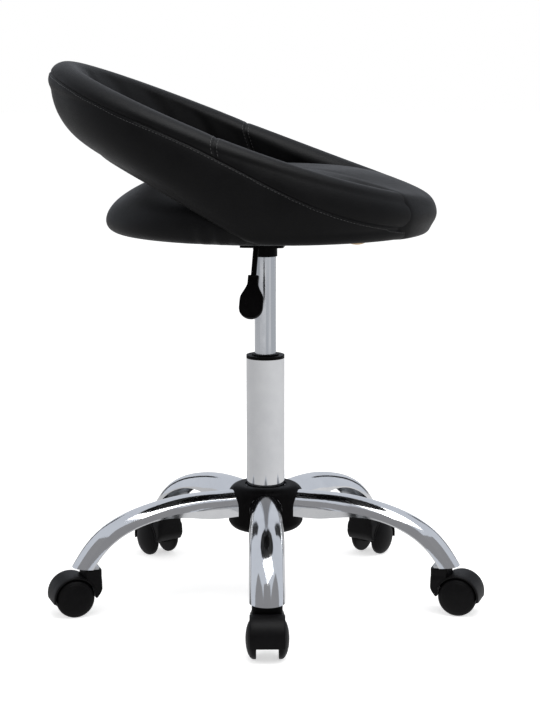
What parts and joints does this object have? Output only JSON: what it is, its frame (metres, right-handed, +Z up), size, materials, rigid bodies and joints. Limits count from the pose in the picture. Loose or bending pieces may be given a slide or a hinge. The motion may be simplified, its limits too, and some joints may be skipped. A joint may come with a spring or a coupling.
{
  "type": "stylist stool",
  "caption": "Rolling salon stool with a round padded seat, a tilted padded ring as backrest, gas lift, height lever and a five-legged chrome base on twin-wheel casters.",
  "frame": {"origin": "on the floor, on the axis of the lift column", "axes": "+Z up, +X towards the front of the seat (the seat stands turned by 5.5 degrees towards -Y), -Y is the sitter's right, where the lever is"},
  "size_m": [0.5727, 0.5459, 0.7069],
  "materials": {
    "black_leather": "smooth black artificial leather",
    "black_plastic": "fine matt black moulding",
    "caster_plastic": "black nylon",
    "chrome": "polished chrome plate",
    "lift_steel": "bright drawn steel",
    "zinc_steel": "zinc plated steel",
    "black_steel": "black powder coat",
    "board": "birch ply",
    "cloth": "black non-woven cloth",
    "rubber": "black rubber"
  },
  "bodies": {
    "base": {"outer_tube": "chrome", "guide_bush": "black_plastic", "lower_race": "zinc_steel", "bearing_balls": "zinc_steel", "base_washer": "zinc_steel", "hub_socket": "zinc_steel", "hub_cover_upper": "black_plastic", "hub_cover_lower": "black_plastic", "stem_sockets": "zinc_steel", "caster_stems": "zinc_steel", "arm_1": "chrome", "arm_2": "chrome", "arm_3": "chrome", "arm_4": "chrome", "arm_5": "chrome"},
    "turning_rod": {"piston_rod": "zinc_steel", "piston": "zinc_steel", "bump_stop": "rubber", "upper_race": "zinc_steel", "retaining_clip": "zinc_steel"},
    "seat": {"gas_cylinder": "lift_steel", "rod_guide": "black_plastic", "backrest_shell": "board", "backrest_ring": "black_leather", "seat_cushion": "black_leather", "seat_board": "board", "plate_nuts": "zinc_steel", "under_cover": "cloth", "mounting_plate": "black_steel", "plate_bolts": "zinc_steel", "lever_box": "black_steel", "taper_socket": "black_steel", "lever_pivot_pin": "zinc_steel"},
    "lever": {"lever_rod": "black_steel", "lever_paddle": "black_plastic"},
    "valve": {"valve_button": "zinc_steel"},
    "caster_1": {"caster_1_hood": "caster_plastic", "caster_1_axle": "zinc_steel"},
    "caster_1_left": {"caster_1_wheel_left": "caster_plastic"},
    "caster_1_right": {"caster_1_wheel_right": "caster_plastic"},
    "caster_2": {"caster_2_hood": "caster_plastic", "caster_2_axle": "zinc_steel"},
    "caster_2_left": {"caster_2_wheel_left": "caster_plastic"},
    "caster_2_right": {"caster_2_wheel_right": "caster_plastic"},
    "caster_3": {"caster_3_hood": "caster_plastic", "caster_3_axle": "zinc_steel"},
    "caster_3_left": {"caster_3_wheel_left": "caster_plastic"},
    "caster_3_right": {"caster_3_wheel_right": "caster_plastic"},
    "caster_4": {"caster_4_hood": "caster_plastic", "caster_4_axle": "zinc_steel"},
    "caster_4_left": {"caster_4_wheel_left": "caster_plastic"},
    "caster_4_right": {"caster_4_wheel_right": "caster_plastic"},
    "caster_5": {"caster_5_hood": "caster_plastic", "caster_5_axle": "zinc_steel"},
    "caster_5_left": {"caster_5_wheel_left": "caster_plastic"},
    "caster_5_right": {"caster_5_wheel_right": "caster_plastic"}
  },
  "joints": [
    {"name": "seat_turn", "type": "hinge", "parent": "base", "child": "turning_rod", "pos_m": [0, 0, 0.1], "axis": [0, 0, 1], "continuous": true},
    {"name": "seat_lift", "type": "slide", "parent": "turning_rod", "child": "seat", "axis": [0, 0, 1], "range_m": [-0.12, 0]},
    {"name": "lever_press", "type": "hinge", "parent": "seat", "child": "lever", "pos_m": [-0.00801, -0.04123, 0.4782], "axis": [-0.9816, 0.1908, 0], "range_deg": [0, 4], "stiffness_Nm_per_rad": 1, "springref_deg": -2.86},
    {"name": "valve_press", "type": "slide", "parent": "seat", "child": "valve", "axis": [0, 0, -1], "range_m": [0, 0.0033], "stiffness_N_per_m": 400, "springref_m": -0.001},
    {"name": "caster_1_swivel", "type": "hinge", "parent": "base", "child": "caster_1", "pos_m": [0.00169, -0.2425, 0.05], "axis": [0, 0, 1], "continuous": true},
    {"name": "caster_1_left_spin", "type": "hinge", "parent": "caster_1", "child": "caster_1_left", "pos_m": [0.00184, -0.263, 0.025], "axis": [1, 0.007, 0], "continuous": true},
    {"name": "caster_1_right_spin", "type": "hinge", "parent": "caster_1", "child": "caster_1_right", "pos_m": [0.00184, -0.263, 0.025], "axis": [1, 0.007, 0], "continuous": true},
    {"name": "caster_2_swivel", "type": "hinge", "parent": "base", "child": "caster_2", "pos_m": [0.23116, -0.07333, 0.05], "axis": [0, 0, 1], "continuous": true},
    {"name": "caster_2_left_spin", "type": "hinge", "parent": "caster_2", "child": "caster_2_left", "pos_m": [0.2507, -0.07953, 0.025], "axis": [0.3024, 0.9532, 0], "continuous": true},
    {"name": "caster_2_right_spin", "type": "hinge", "parent": "caster_2", "child": "caster_2_right", "pos_m": [0.2507, -0.07953, 0.025], "axis": [0.3024, 0.9532, 0], "continuous": true},
    {"name": "caster_3_swivel", "type": "hinge", "parent": "base", "child": "caster_3", "pos_m": [0.14117, 0.19719, 0.05], "axis": [0, 0, 1], "continuous": true},
    {"name": "caster_3_left_spin", "type": "hinge", "parent": "caster_3", "child": "caster_3_left", "pos_m": [0.1531, 0.21385, 0.025], "axis": [-0.8131, 0.5821, 0], "continuous": true},
    {"name": "caster_3_right_spin", "type": "hinge", "parent": "caster_3", "child": "caster_3_right", "pos_m": [0.1531, 0.21385, 0.025], "axis": [-0.8131, 0.5821, 0], "continuous": true},
    {"name": "caster_4_swivel", "type": "hinge", "parent": "base", "child": "caster_4", "pos_m": [-0.14391, 0.1952, 0.05], "axis": [0, 0, 1], "continuous": true},
    {"name": "caster_4_left_spin", "type": "hinge", "parent": "caster_4", "child": "caster_4_left", "pos_m": [-0.15608, 0.2117, 0.025], "axis": [-0.8049, -0.5934, 0], "continuous": true},
    {"name": "caster_4_right_spin", "type": "hinge", "parent": "caster_4", "child": "caster_4_right", "pos_m": [-0.15608, 0.2117, 0.025], "axis": [-0.8049, -0.5934, 0], "continuous": true},
    {"name": "caster_5_swivel", "type": "hinge", "parent": "base", "child": "caster_5", "pos_m": [-0.23011, -0.07655, 0.05], "axis": [0, 0, 1], "continuous": true},
    {"name": "caster_5_left_spin", "type": "hinge", "parent": "caster_5", "child": "caster_5_left", "pos_m": [-0.24957, -0.08302, 0.025], "axis": [0.3156, -0.9489, 0], "continuous": true},
    {"name": "caster_5_right_spin", "type": "hinge", "parent": "caster_5", "child": "caster_5_right", "pos_m": [-0.24957, -0.08302, 0.025], "axis": [0.3156, -0.9489, 0], "continuous": true}
  ],
  "couplings": [
    {"joint": "valve_press", "follows": "lever_press", "m_per_rad": 0.047}
  ]
}
